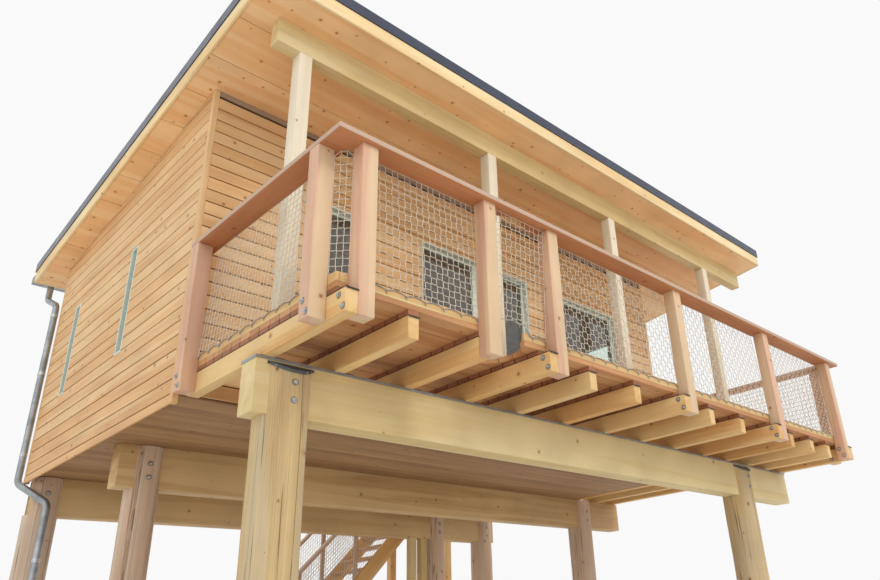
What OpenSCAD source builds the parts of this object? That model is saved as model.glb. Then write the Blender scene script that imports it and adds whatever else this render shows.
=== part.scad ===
// Tree house on log posts: a timber cabin with a netted balcony in front of it and along its right side.
// Units are millimetres, +Z is up, the ground is Z = 0 and the balcony front faces -Y.

/* [General] */
// Height of the joist underside above the ground
deck_h = 3600; // [2400:10:4200]
// Depth of the front balcony, from the post faces to the cabin wall
balcony_depth = 2386; // [1600:1:3200]
// Depth of the cabin, outside to outside
cabin_depth = 4161; // [3000:1:6000]
// Width of the cabin, outside to outside
cabin_w = 7526; // [5000:1:9000]

/* [Logs and beams] */
// Diameter of the round log posts
log_d = 410; // [250:5:600]
// Width of the three main beams
beam_w = 220; // [120:5:300]
// Height of the three main beams
beam_h = 440; // [240:5:600]

/* [Balcony] */
// Width of a joist
joist_w = 100; // [60:5:160]
// Height of a joist
joist_h = 180; // [120:5:260]
// Height of the packers between joists and deck
packer_h = 46; // [18:1:60]
// Thickness of the deck boards
deck_t = 46; // [18:1:60]
// Height of the toe boards
toe_h = 74; // [40:1:200]
// Diameter of the round opening in the deck
tree_hole_d = 580; // [400:10:900]
// Height of the railing posts, from the joist underside
post_h = 1410; // [1200:5:1700]
// Thickness of the rail cap
cap_t = 45; // [25:1:80]
// Width of the rail cap
cap_w = 210; // [120:5:300]
// Thickness of the sheets that stand in for the rope nets
net_t = 8; // [4:1:12]

/* [Cabin] */
// Thickness of the cabin walls
wall_t = 200; // [100:5:300]
// Thickness of the cabin floor
floor_t = 240; // [120:5:300]
// Height of the roof underside at the cabin front, from the joist underside
roof_z = 3290; // [2600:5:3800]
// Fall of the roof towards the back, as rise over run
slope = 0.12; // [0.03:0.01:0.3]
// Thickness of the roof panel
roof_t = 150; // [80:5:300]
// Height of the dark metal edge above the fascia
edge_h = 130; // [60:5:200]

/* [Stair] */
// Going of one tread
going = 200; // [180:5:280]
// Number of risers
risers = 20; // [14:1:24]
// Width of the stair
stair_w = 900; // [700:10:1200]

/* [Hidden] */
$fn = 48;
x_mid = 4150;
deck_z = joist_h + packer_h;
top_z = deck_z + deck_t;
cab_y0 = balcony_depth;
cab_y1 = cab_y0 + cabin_depth;
cab_x0 = -126;
cab_x1 = cab_x0 + cabin_w;
bal_x1 = 8520;
roof_x0 = -400;
roof_x1 = 8700;
roof_y0 = 840;
roof_y1 = cab_y1 + 520;
stair_y0 = cab_y1 + 150;
stair_y1 = stair_y0 + stair_w + 120;
land_y1 = stair_y1;
y_mid = (land_y1 - 45) / 2;
beam_y = [1087, 4250, 6380];
ter_y1 = beam_y[1] + beam_w + 60;
joist_x = [0, 634, 1346, 2062, 2759, 3460, 4170, 4870, 5560, 6250, 6848, 7446, 7980, 8420];
post_x = [100, 1346, 2162, 4270, 6350, 8280];
rise = (deck_h + top_z) / risers;
land_x0 = 6150;
land_x1 = 7600;
// Butt joints between timbers of one piece stay open by this much
joint = 1;

function under(y) = roof_z + slope * (cab_y0 - y);

module at() translate([-x_mid, -y_mid, deck_h]) children();
module bx(x0, x1, y0, y1, z0, z1) at() translate([x0, y0, z0]) cube([x1 - x0, y1 - y0, z1 - z0]);
// A length along X of a profile drawn in Y and Z
module run_x(x0, x1, pts) at() translate([x0, 0, 0]) rotate([90, 0, 90]) linear_extrude(x1 - x0)
  polygon(pts);

// A log with a slot for its beam, i counts the beams from the front; s scales its diameter
module log_post(x, i, s = 1, top = -8) color("BurlyWood") difference() {
  at() translate([x, beam_y[i] + beam_w / 2, -deck_h]) cylinder(d = log_d * s, h = deck_h + top);
  bx(x - log_d, x + log_d, beam_y[i], beam_y[i] + beam_w, -beam_h, 100);
}
module log_front_left() log_post(245, 0, 1.02);
module log_front_right() log_post(7240, 0, 1.04);
module log_mid_left() log_post(455, 1, 0.84);
module log_mid_right() log_post(7627, 1, 0.97);
module log_rear_left() log_post(110, 2, 0.9);
module log_rear_mid() log_post(6220, 2, 0.92);
module log_rear_right() log_post(7350, 2, 0.95);
module squared_posts() color("Wheat") for (x = [5640, 5860])
  bx(x, x + 120, beam_y[2], beam_y[2] + 120, -deck_h, -beam_h);

module beam(i, x0, x1) color("Wheat") bx(x0, x1, beam_y[i], beam_y[i] + beam_w, -beam_h, i == 0 ? -6 : 0);
module beam_front() beam(0, -50, 8570);
module beam_mid() beam(1, 150, 8570);
module beam_rear() beam(2, -20, 7560);
// A sheet over the beam with a folded lip all round, and a half-moon apron over each log's front cheek
module flashing() color("Silver") {
  difference() {
    bx(-56, 8576, beam_y[0] - 6, beam_y[0] + beam_w + 6, -34, 0);
    bx(-50, 8570, beam_y[0], beam_y[0] + beam_w, -60, -6);
    for (x = [245, 7240]) log_slot(x);
  }
  for (i = [0, 1]) apron([245, 7240][i], log_d * [1.02, 1.04][i] / 2);
}
module log_slot(x) at() translate([x, beam_y[0] + beam_w / 2, -100]) cylinder(d = log_d * 1.04, h = 94);
module apron(x, r) difference() {
  at() translate([x, beam_y[0] + beam_w / 2, -34]) cylinder(r = r + 8, h = 32);
  at() translate([x, beam_y[0] + beam_w / 2, -60]) cylinder(r = r, h = 52);
  bx(x - 400, x + 400, beam_y[0] - 6, beam_y[0] + 600, -100, 50);
}

function joist_y0(i) = (i == 0 || i == 3 || i == 6 || i == 9 || i == 13) ? 0 : 130;
function joist_y1(i) = joist_x[i] > cab_x1 ? ter_y1 : cab_y0;
module joists() color("Wheat") for (i = [0:13])
  bx(joist_x[i], joist_x[i] + joist_w, joist_y0(i), joist_y1(i), 0, joist_h);
module packers() color("Peru") for (i = [0:13])
  bx(joist_x[i], joist_x[i] + joist_w, 130, joist_y1(i), joist_h, deck_z);

// A round hole in the deck, open to the deck's front edge
module trunk_slot() {
  at() translate([1755, 440, 0]) cylinder(d = tree_hole_d, h = 400);
  bx(1623, 1887, 100, 440, 0, 400);
}
module deck() color("BurlyWood") difference() {
  at() translate([0, 130, deck_z]) linear_extrude(deck_t) polygon([[0, 0], [bal_x1, 0],
    [bal_x1, ter_y1 - 130], [cab_x1, ter_y1 - 130], [cab_x1, cab_y0 - 130], [0, cab_y0 - 130]]);
  trunk_slot();
}
module toe_front() color("Wheat") {
  bx(30 + joint, 1623, 130, 160, top_z, top_z + toe_h);
  bx(1887, bal_x1 - 30 - joint, 130, 160, top_z, top_z + toe_h);
}
module toe_sides() color("BurlyWood") {
  bx(0, 30, 130, cab_y0, top_z, top_z + toe_h);
  bx(bal_x1 - 30, bal_x1, 130, ter_y1, top_z, top_z + toe_h);
  bx(cab_x1, bal_x1 - 30 - joint, ter_y1 - 30, ter_y1, top_z, top_z + toe_h);
}
module rail_posts() color("BurlyWood") {
  for (x = post_x) bx(x, x + 140, 0, 130, 0, post_h);
  bx(-140, 0, 233, 361, 0, post_h);
  bx(-140, 0, 2238, 2366, 0, post_h);
  bx(bal_x1, bal_x1 + 140, 233, 361, 0, post_h);
  bx(bal_x1, bal_x1 + 140, 2238, 2366, 0, post_h);
  bx(bal_x1, bal_x1 + 140, ter_y1 - 130, ter_y1, 0, post_h);
}
cap_y = cap_w - 45;
module cap_bx(x0, x1, y0, y1) bx(x0, x1, y0, y1, post_h, post_h + cap_t);
module cap_front() color("Tan") {
  cap_bx(-140, 1500, -45, cap_y);
  cap_bx(2100, 8660, -45, cap_y);
  cap_bx(1500, 2100, -45, 60);
  difference() {
    cap_bx(1500, 2100, 60, cap_y);
    at() translate([1800, 365, 1000]) cylinder(d = tree_hole_d, h = 1000);
  }
}
module cap_sides() color("Tan") {
  cap_bx(-140, 70, cap_y + joint, cab_y0);
  cap_bx(8660 - cap_w, 8660, cap_y + joint, ter_y1);
  cap_bx(cab_x1, 8660 - cap_w - joint, ter_y1 - cap_w, ter_y1);
}

net_z = top_z + 34;
// A net leans in from the toe board's outer face to the cap's inner edge: foot and top are the
// distances across the rail; the corner nets run straight from side post to front post
function lean(foot, top) = [[foot, net_z], [foot + net_t, net_z], [top + net_t, post_h], [top, post_h]];
module net_side(y0, y1, foot, top) at() translate([0, y1, 0]) rotate([90, 0, 0]) linear_extrude(y1 - y0)
  polygon(lean(foot, top));
module net_corner(pts) at() translate([0, 0, top_z + toe_h + 5]) linear_extrude(post_h - top_z - toe_h - 5)
  polygon(pts);
module net_front() color("Ivory") for (i = [0:4])
  run_x(post_x[i] + 140, post_x[i + 1], lean(116, i == 1 ? 52 : 158));
module net_west() color("Ivory") {
  net_side(361, 2238, -14, 62);
  net_corner([[0, 238], [0, 228], [97, 130], [107, 130]]);
}
module net_east() color("Ivory") {
  net_side(361, 2238, bal_x1 + 6, bal_x1 - 70);
  net_side(2366, ter_y1 - 130, bal_x1 + 6, bal_x1 - 70);
  net_corner([[8520, 238], [8520, 228], [8423, 130], [8413, 130]]);
  bx(cab_x1, bal_x1 - 80, ter_y1 - 68, ter_y1 - 60, net_z + 100, post_h);
}

module cabin_floor() color("Sienna")
  bx(cab_x0 + wall_t, cab_x1 - wall_t, cab_y0 + wall_t, cab_y1 - wall_t, 0, floor_t);
// Openings: [x0, x1, z0, z1] in the front wall, [y0, y1, z0, z1] in the west wall
front_open = [[1000, 1900, 1100, 2450], [2620, 4500, 272, 2470], [5200, 6500, 1100, 2450]];
west_open = [[3910, 4090, 840, 2090], [5660, 5840, 840, 2000]];
rear_open = [[1200, 2100, 1100, 2300], [3600, 4500, 1100, 2300], [6350, 7250, 272, 2300]];
// The cladding hangs a little below the floor on the sides and at the back
skirt = 71;
module wall_front() color("BurlyWood") difference() {
  run_x(cab_x0, cab_x1, [[cab_y0, 0], [cab_y0 + wall_t, 0], [cab_y0 + wall_t, under(cab_y0 + wall_t)],
    [cab_y0, under(cab_y0)]]);
  for (o = front_open) bx(o[0], o[1], cab_y0 - 50, cab_y0 + wall_t + 50, o[2], o[3]);
}
module side_wall(x0) run_x(x0, x0 + wall_t, [[cab_y0 + wall_t, 0], [cab_y1 - wall_t, 0],
  [cab_y1 - wall_t, under(cab_y1 - wall_t)], [cab_y0 + wall_t, under(cab_y0 + wall_t)]]);
module wall_west() color("BurlyWood") {
  difference() {
    union() {
      side_wall(cab_x0);
      bx(cab_x0, cab_x0 + 25, cab_y0 + wall_t, cab_y1 - wall_t, -skirt, 10);
    }
    for (o = west_open) bx(cab_x0 - 50, cab_x0 + wall_t + 50, o[0], o[1], o[2], o[3]);
  }
}
module wall_east() color("BurlyWood") difference() {
  side_wall(cab_x1 - wall_t);
  bx(cab_x1 - wall_t - 50, cab_x1 + 50, 3000, 3900, 1100, 2450);
}
module wall_rear() color("BurlyWood") difference() {
  union() {
    run_x(cab_x0, cab_x1, [[cab_y1 - wall_t, 0], [cab_y1, 0], [cab_y1, under(cab_y1)],
      [cab_y1 - wall_t, under(cab_y1 - wall_t)]]);
    bx(cab_x0, cab_x0 + 25, cab_y1 - wall_t, cab_y1, -skirt, 10);
  }
  for (o = rear_open) bx(o[0], o[1], cab_y1 - wall_t - 50, cab_y1 + 50, o[2], o[3]);
}

// Stiles and rails of a frame in a wall that runs along X, and of one in a wall that runs along Y
module frame_x(o, y, bars = 0) {
  m = (o[0] + o[1]) / 2;
  for (x = [o[0], o[1] - 60]) bx(x, x + 60, y, y + 80, o[2], o[3]);
  if (bars > 0) bx(m - 50, m + 50, y, y + 80, o[2], o[3]);
  for (z = [o[2], o[3] - 60]) {
    bx(o[0] + 60 + joint, (bars > 0 ? m - 50 : o[1] - 60) - joint, y, y + 80, z, z + 60);
    if (bars > 0) bx(m + 50 + joint, o[1] - 60 - joint, y, y + 80, z, z + 60);
  }
}
module frame_y(o, x, f = 30) {
  for (y = [o[0], o[1] - f]) bx(x, x + 80, y, y + f, o[2], o[3]);
  for (z = [o[2], o[3] - f]) bx(x, x + 80, o[0] + f + joint, o[1] - f - joint, z, z + f);
}
module frames() color("White") {
  frame_x(front_open[0], cab_y0 + 60);
  frame_x(front_open[1], cab_y0 + 60, 1);
  frame_x(front_open[2], cab_y0 + 60);
  for (o = west_open) frame_y(o, cab_x0 + 60);
  frame_y([3000, 3900, 1100, 2450], cab_x1 - 140, 60);
  frame_x(rear_open[0], cab_y1 - 140);
  frame_x(rear_open[1], cab_y1 - 140);
}
module glass() color("LightBlue", 0.4) {
  for (i = [0, 2]) bx(front_open[i][0] + 60, front_open[i][1] - 60, cab_y0 + 90, cab_y0 + 110,
    front_open[i][2] + 60, front_open[i][3] - 60);
  bx(2680, 3510, cab_y0 + 90, cab_y0 + 110, 332, 2410);
  bx(3610, 4440, cab_y0 + 90, cab_y0 + 110, 332, 2410);
  for (o = west_open) bx(cab_x0 + 90, cab_x0 + 110, o[0] + 30, o[1] - 30, o[2] + 30, o[3] - 30);
  bx(cab_x1 - 110, cab_x1 - 90, 3060, 3840, 1160, 2390);
  for (i = [0, 1]) bx(rear_open[i][0] + 60, rear_open[i][1] - 60, cab_y1 - 110, cab_y1 - 90, 1160, 2240);
}
module rear_door() color("Peru") bx(6350, 7250, cab_y1 - 130, cab_y1 - 70, 272, 2300);

module roof_strip(x0, x1, y0, y1, a, b) run_x(x0, x1, [[y0, under(y0) + a], [y1, under(y1) + a],
  [y1, under(y1) + b], [y0, under(y0) + b]]);
module roof_panel() color("Peru")
  roof_strip(roof_x0 + 30, roof_x1 - 30, roof_y0 + 30, roof_y1 - 30, 0, roof_t);
// Four straight lengths round the roof, w wide, with their outer faces out by o
module roof_ring(o, w, a, b) {
  x0 = roof_x0 - o;
  x1 = roof_x1 + o;
  y0 = roof_y0 - o;
  y1 = roof_y1 + o;
  roof_strip(x0, x1, y0, y0 + w, a, b);
  roof_strip(x0, x1, y1 - w, y1, a, b);
  roof_strip(x0, x0 + w, y0 + w + joint, y1 - w - joint, a, b);
  roof_strip(x1 - w, x1, y0 + w + joint, y1 - w - joint, a, b);
}
module fascia() color("BurlyWood") roof_ring(0, 30, -6, roof_t);
module roof_edge() color("DarkSlateGray") roof_ring(10, 90, roof_t, roof_t + edge_h);
module roofing() color("DimGray")
  roof_strip(roof_x0 + 80, roof_x1 - 80, roof_y0 + 80, roof_y1 - 80, roof_t, roof_t + 12);
module eaves_beam() color("Wheat") run_x(-80, 8580, [[1200, 3150], [1340, 3150], [1340, under(1340)],
  [1200, under(1200)]]);
module roof_posts() color("Wheat") for (x = [160, 2650, 4950, 7380])
  bx(x, x + 135, 1200, 1335, top_z, 3150);

gut_y = roof_y1 + 10;
gut_z = under(roof_y1) + 110;
module gutter() color("Silver") difference() {
  bx(roof_x0, roof_x1, gut_y, gut_y + 120, gut_z - 100, gut_z);
  bx(roof_x0 + 4, roof_x1 - 4, gut_y + 4, gut_y + 116, gut_z - 96, gut_z + 50);
}
// Straight lengths of a round pipe along a list of points, each ending just short of the bend
module pipe(p, d) for (i = [0:len(p) - 2]) {
  v = p[i + 1] - p[i];
  cut = d * 0.33;
  c0 = i > 0 ? cut : 0;
  c1 = i < len(p) - 2 ? cut : 0;
  at() translate(p[i] + v / norm(v) * c0) rotate([0, acos(v[2] / norm(v)), atan2(v[1], v[0])])
    cylinder(d = d, h = norm(v) - c0 - c1, $fn = 24);
}
module downpipe() color("Silver") pipe([[60, 6100, -deck_h + 60], [60, 6100, -350], [-172, 6610, -60],
  [-172, 6610, gut_z - 560], [-172, gut_y + 60, gut_z - 300], [-172, gut_y + 60, gut_z - 100]], 80);

// The stair climbs to the right behind the cabin, up to a landing at deck height
stair_x0 = land_x0 - going * (risers - 1);
pitch = rise / going;
module slope_y(y0, y1, pts) at() translate([0, y1, 0]) rotate([90, 0, 0]) linear_extrude(y1 - y0)
  polygon(pts);
module stringers() color("Wheat") for (y = [stair_y0, stair_y1 - 60]) slope_y(y, y + 60,
  [[stair_x0 - 60, -deck_h], [stair_x0 + 250, -deck_h], [land_x0, deck_z - 30 - 250 * pitch + 30],
    [land_x0, top_z], [land_x0 - 60, top_z]]);
module treads() color("BurlyWood") for (i = [0:risers - 2])
  bx(stair_x0 + i * going, stair_x0 + i * going + 240, stair_y0 + 60, stair_y1 - 60,
    -deck_h + (i + 1) * rise - 40, -deck_h + (i + 1) * rise);
module landing() color("BurlyWood") {
  bx(land_x0, land_x1, cab_y1, land_y1, deck_z, top_z);
  for (x = [land_x0, (land_x0 + land_x1) / 2 - 30, land_x1 - 60])
    bx(x, x + 60, cab_y1, land_y1 - 120, deck_z - 120, deck_z);
}
module landing_posts() color("Wheat") {
  for (x = [land_x0, land_x1 - 120]) bx(x, x + 120, land_y1 - 120, land_y1, -deck_h, deck_z);
}
// Handrails: posts on the landing, on the stringers and sloping caps
rail_dz = 1000;
stair_n = [400, 1400, 2400, 3400];
function nose(x) = -deck_h + (x - stair_x0) * pitch + rise;
module stair_post(y, a, b) slope_y(y, y + 60, [[a, nose(a)], [b, nose(b)], [b, nose(b) + rail_dz - joint],
  [a, nose(a) + rail_dz - joint]]);
module handrail(y, a, b) slope_y(y - 20, y + 80, [[a, nose(a) + rail_dz], [b, nose(b) + rail_dz],
  [b, nose(b) + rail_dz + 60], [a, nose(a) + rail_dz + 60]]);
module stair_rail() color("Tan") {
  for (x = [land_x0 + 20, land_x1 - 100])
    bx(x, x + 80, land_y1 - 100, land_y1 - 20, top_z, post_h - joint);
  bx(land_x0, land_x1, land_y1 - 120, land_y1, post_h, post_h + cap_t);
  bx(land_x1 - 120, land_x1, cab_y1, land_y1 - 120 - joint, post_h, post_h + cap_t);
  for (y = [stair_y0, stair_y1 - 60]) {
    for (n = stair_n) stair_post(y, stair_x0 + n, stair_x0 + n + 60);
    handrail(y, stair_x0 + 100, land_x0 - joint);
  }
}
module stair_nets() color("Ivory") {
  bx(land_x0 + 100, land_x1 - 100, land_y1 - 64, land_y1 - 56, top_z, post_h);
  bx(land_x1 - 64, land_x1 - 56, cab_y1, land_y1 - 100, top_z, post_h);
  for (y = [stair_y0, stair_y1 - 60], i = [0:2]) {
    a = stair_x0 + stair_n[i] + 60;
    b = stair_x0 + stair_n[i + 1];
    slope_y(y + 26, y + 34, [[a, nose(a)], [b, nose(b)], [b, nose(b) + rail_dz], [a, nose(a) + rail_dz]]);
  }
}

log_front_left();
log_front_right();
log_mid_left();
log_mid_right();
log_rear_left();
log_rear_mid();
log_rear_right();
squared_posts();
beam_front();
beam_mid();
beam_rear();
flashing();
joists();
packers();
deck();
toe_front();
toe_sides();
rail_posts();
cap_front();
cap_sides();
net_front();
net_west();
net_east();
cabin_floor();
wall_front();
wall_west();
wall_east();
wall_rear();
frames();
glass();
rear_door();
roof_panel();
fascia();
roof_edge();
roofing();
eaves_beam();
roof_posts();
gutter();
downpipe();
stringers();
treads();
landing();
landing_posts();
stair_rail();
stair_nets();
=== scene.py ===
# %% [markdown]
# # A timber tree house on log posts
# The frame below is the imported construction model: every timber is already there at its true size.
# This lesson gives each timber its grain, and makes what is too small for the construction model:
# cladding boards, deck boards, rope nets, bolts and trim.

# %% Load the frame
import bpy
import math
import random
import numpy as np
from mathutils import Matrix, Vector


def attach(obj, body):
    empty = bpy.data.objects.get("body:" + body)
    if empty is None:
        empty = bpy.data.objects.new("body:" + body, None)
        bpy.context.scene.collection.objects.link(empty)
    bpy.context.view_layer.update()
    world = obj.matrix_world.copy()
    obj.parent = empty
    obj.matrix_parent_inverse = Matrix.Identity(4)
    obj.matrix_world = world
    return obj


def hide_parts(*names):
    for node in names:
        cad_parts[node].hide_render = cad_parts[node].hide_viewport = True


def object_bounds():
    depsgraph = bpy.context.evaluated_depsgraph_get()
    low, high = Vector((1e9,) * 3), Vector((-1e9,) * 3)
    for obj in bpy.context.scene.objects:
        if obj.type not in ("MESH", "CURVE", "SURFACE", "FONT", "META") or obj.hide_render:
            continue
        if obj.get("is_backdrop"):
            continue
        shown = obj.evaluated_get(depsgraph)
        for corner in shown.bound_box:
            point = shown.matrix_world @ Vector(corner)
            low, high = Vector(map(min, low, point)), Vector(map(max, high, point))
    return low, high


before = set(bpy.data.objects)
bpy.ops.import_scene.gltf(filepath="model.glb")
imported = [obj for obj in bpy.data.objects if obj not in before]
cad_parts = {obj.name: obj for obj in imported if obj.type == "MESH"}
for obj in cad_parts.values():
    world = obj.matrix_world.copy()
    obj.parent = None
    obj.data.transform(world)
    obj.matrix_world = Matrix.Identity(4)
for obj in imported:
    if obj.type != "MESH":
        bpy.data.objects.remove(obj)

scene = bpy.context.scene
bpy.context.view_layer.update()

# %% [markdown]
# The carpenter's own coordinates are handier than the frame's: millimetres, with X from the first
# joist, Y from the face of the railing posts and Z from the joist underside. One helper turns them
# into the frame's metres. The planes that many pieces share get their names here.

# %% Carpenter's coordinates
MID_X, MID_Y, JOISTS_UP = 4150, 3836, 3600  # the frame's origin, and the joists' height above it
CABIN_W, CABIN_E, CABIN_S, CABIN_N = -126, 7400, 2386, 6547  # the cabin's outer faces
DECK_E, DECK_N, DECK_TOP = 8520, 4530, 272  # the terrace's outer edges and the deck's top
ROOF_Z, FALL = 3290, 0.12  # the roof's underside over the front wall, and its slope


def at(x, y, z):
    return Vector(((x - MID_X) / 1000, (y - MID_Y) / 1000, (z + JOISTS_UP) / 1000))


def under(y):
    """Height of the roof's underside."""
    return ROOF_Z + FALL * (CABIN_S - y)


print("front left deck corner", at(0, 90, 238))

# %% [markdown]
# The camera stands low on the ground at the left corner and looks up, slightly rolled. Its lens
# and its small shift were solved from the corners of the posts and beams, so the script writes
# them down.

# %% Camera
def placed(name, data):
    obj = bpy.data.objects.new(name, data)
    scene.collection.objects.link(obj)
    return obj


def place_camera(spot, yaw, pitch, roll, lens, shift):
    a, b, c = (math.radians(v) for v in (yaw, pitch, roll))
    look = Vector((math.sin(a) * math.cos(b), math.cos(a) * math.cos(b), math.sin(b)))
    level = Vector((look.y, -look.x, 0)).normalized()
    rise = level.cross(look)
    right = math.cos(c) * level + math.sin(c) * rise
    up = -math.sin(c) * level + math.cos(c) * rise
    cam = bpy.data.cameras.new("camera")
    cam.lens, cam.sensor_width, cam.clip_end = lens, 36, 200
    cam.shift_x, cam.shift_y = shift
    m = Matrix((right, up, -look)).transposed().to_4x4()
    m.translation = spot
    scene.camera = placed("camera", cam)
    scene.camera.matrix_world = m


place_camera(spot=(-6.684, -7.724, 1.580), yaw=46.497, pitch=24.803, roll=-3.214,
             lens=30.468, shift=(-0.0753, 0.002))
print("camera", scene.camera.location)

# %% [markdown]
# Every material and node tree is built with the same few helpers. A value that is another node's
# output is linked, and a plain value is written into the socket.

# %% Node helpers
def feed(t, value, socket):
    if hasattr(value, "links"):
        t.links.new(value, socket)
    else:
        socket.default_value = value


def node(t, kind, **values):
    """A new node. Each value goes to the node's setting, or to the input, of that name."""
    n = t.nodes.new(kind)
    for key, value in values.items():
        if hasattr(n, key):
            setattr(n, key, value)
        else:
            feed(t, value, n.inputs[key.replace("_", " ")])
    return n


def chain(t, kind, *values, **settings):
    """The first output of a new node, whose first inputs take the values in their order."""
    n = node(t, kind, **settings)
    for socket, value in zip(n.inputs, values):
        feed(t, value, socket)
    return n.outputs[0]


def maths(t, kind, *values):
    return chain(t, "ShaderNodeMath", *values, operation=kind)


def vmath(t, kind, *values):
    return chain(t, "ShaderNodeVectorMath", *values, operation=kind)


def xyz(t, *values):
    return chain(t, "ShaderNodeCombineXYZ", *values)


def ramp(t, value, lo, hi, a=0.0, b=1.0):
    """Turns lo into a and hi into b."""
    return chain(t, "ShaderNodeMapRange", value, lo, hi, a, b)


def mix(t, factor, a, b):
    n = node(t, "ShaderNodeMix", data_type="RGBA")
    for k, value in ((0, factor), (6, a), (7, b)):
        feed(t, value, n.inputs[k])
    return n.outputs[2]


def srgb(*c):
    """A colour of 0 to 255 a channel, as the linear colour that a socket takes."""
    return tuple((v / 255 / 12.92 if v <= 10 else ((v / 255 + 0.055) / 1.055) ** 2.4)
                 for v in c) + (1,)


def blank(name, **values):
    """A material, its node tree and its shader, with the plain values in the shader's sockets."""
    m = bpy.data.materials.new(name)
    m.use_nodes = True
    shader = m.node_tree.nodes["Principled BSDF"]
    for key, value in values.items():
        feed(m.node_tree, value, shader.inputs[key.replace("_", " ")])
    return m, m.node_tree, shader


def bumped(t, shader, height, strength):
    bump = chain(t, "ShaderNodeBump", Strength=strength, Distance=0.002, Height=height)
    feed(t, bump, shader.inputs["Normal"])


print("middle grey", srgb(128, 128, 128))

# %% [markdown]
# Wood is a solid, so its pattern is made in three dimensions. Each timber carries an attribute
# named grain: the point in metres with X along the timber, moved by a random amount so that no two
# look cut from the same place. Rings round the X axis give the long growth lines, cells give the
# knots, a thin line in a stretched noise gives the drying cracks, and the attribute named tone
# makes one board redder or paler than the next.

# %% Wood material
RING = 0.012  # from one growth ring to the next, in metres


def knotted(t, grain, colour, deep, share, cells):
    """Knots with a halo, in a share of the cells of a flat pattern along the timber."""
    split = node(t, "ShaderNodeSeparateXYZ", Vector=grain)
    flat = xyz(t, split.outputs[0], maths(t, "ADD", split.outputs[1], split.outputs[2]))
    cell = node(t, "ShaderNodeTexVoronoi", voronoi_dimensions="2D", Scale=cells, Vector=flat)
    pick = node(t, "ShaderNodeSeparateColor", Color=cell.outputs["Color"])
    size = ramp(t, pick.outputs[0], 1 - share, 1.0, 0.0, 0.018 * cells)
    inside = maths(t, "DIVIDE", cell.outputs["Distance"], maths(t, "MAXIMUM", size, 0.0001))
    colour = mix(t, ramp(t, inside, 1.0, 2.6, 0.45, 0.0), colour, srgb(*deep))
    knot = srgb(*(v * k for v, k in zip(deep, (0.72, 0.56, 0.48))))
    return mix(t, ramp(t, inside, 0.8, 1.1, 0.75, 0.0), colour, knot)


def crack_lines(t, grain, depth):
    thin = chain(t, "ShaderNodeMapping", grain, Scale=(0.009, 1, 1))
    vein = chain(t, "ShaderNodeTexNoise", thin, Scale=18.0, Detail=1.5)
    return ramp(t, maths(t, "ABSOLUTE", maths(t, "SUBTRACT", vein, 0.5)), 0.0, 0.009, depth, 0)


def wood(name, pale, deep, sap=None, share=0.0, knots=0.5, cracks=0.0, spread=0.3, weather=None,
         cells=3.2):
    """Share is how much is sapwood. The optional grey colour is laid over every face that doesn't
    face down.
    """
    m, t, p = blank(name, Roughness=0.62)
    grain = node(t, "ShaderNodeAttribute", attribute_name="grain").outputs["Vector"]
    tone = node(t, "ShaderNodeAttribute", attribute_name="tone").outputs["Fac"]
    long = chain(t, "ShaderNodeMapping", grain, Scale=(0.05, 1, 1))
    height = node(t, "ShaderNodeTexWave", wave_type="RINGS", rings_direction="X", Vector=long,
                  Scale=0.314 / RING, Distortion=6.0, Detail=3.0, Detail_Scale=2.5,
                  Detail_Roughness=0.6).outputs["Fac"]
    streak = chain(t, "ShaderNodeTexNoise", long, Scale=11.0, Detail=5.0)
    cloud = chain(t, "ShaderNodeTexNoise", grain, Scale=1.7, Detail=3.0)
    amount = maths(t, "ADD", maths(t, "MULTIPLY", height, 0.2), ramp(t, streak, 0.3, 0.75, 0, 0.5))
    amount = maths(t, "ADD", amount, maths(t, "MULTIPLY", tone, spread))
    colour = mix(t, maths(t, "MINIMUM", amount, 1.0), srgb(*pale), srgb(*deep))
    if sap:
        band = chain(t, "ShaderNodeTexNoise", long, Scale=6.0, Detail=1.0)
        colour = mix(t, ramp(t, band, 0.47, 0.55, 0.0, share), colour, srgb(*sap))
    colour = chain(t, "ShaderNodeHueSaturation", Color=colour,
                   Value=ramp(t, cloud, 0.3, 0.7, 0.92, 1.06))
    if knots:
        colour = knotted(t, grain, colour, deep, knots, cells)
    if weather:
        # Faces that don't face down take up to 0.8 of the grey colour; the undersides keep the
        # wood's own colour.
        normal = node(t, "ShaderNodeNewGeometry").outputs["True Normal"]
        up = node(t, "ShaderNodeSeparateXYZ", Vector=normal).outputs[2]
        colour = mix(t, ramp(t, up, -0.7, -0.3, 0.0, 0.8), colour, srgb(*weather))
    if cracks:
        gap = crack_lines(t, grain, cracks)
        # Painted shade: the cracks are also drawn in a dark colour, which paints the shade inside
        # them on top of the bump.
        colour = mix(t, gap, colour, srgb(*[v * 0.4 for v in deep]))
        height = maths(t, "SUBTRACT", height, maths(t, "MULTIPLY", gap, 3.0))
    feed(t, colour, p.inputs["Base Color"])
    bumped(t, p, height, 0.2)
    return m


# %% [markdown]
# The house is built of several woods: yellow spruce beams, pinker larch posts and caps, darker
# deck boards, and pale planks under the roof. Each is the same material with its own two tones.

# %% The woods
WOOD = {}


def stock(name, *tones, **habits):
    WOOD[name] = wood(name.replace("_", " "), *tones, **habits)


LOG = dict(share=0.5, knots=0.35, cracks=0.85, spread=0.2)
stock("log_wood", (214, 188, 136), (150, 112, 64), (196, 182, 152), **LOG)
stock("inner_log", (218, 190, 162), (168, 132, 106), (206, 188, 168), **LOG)
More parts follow.
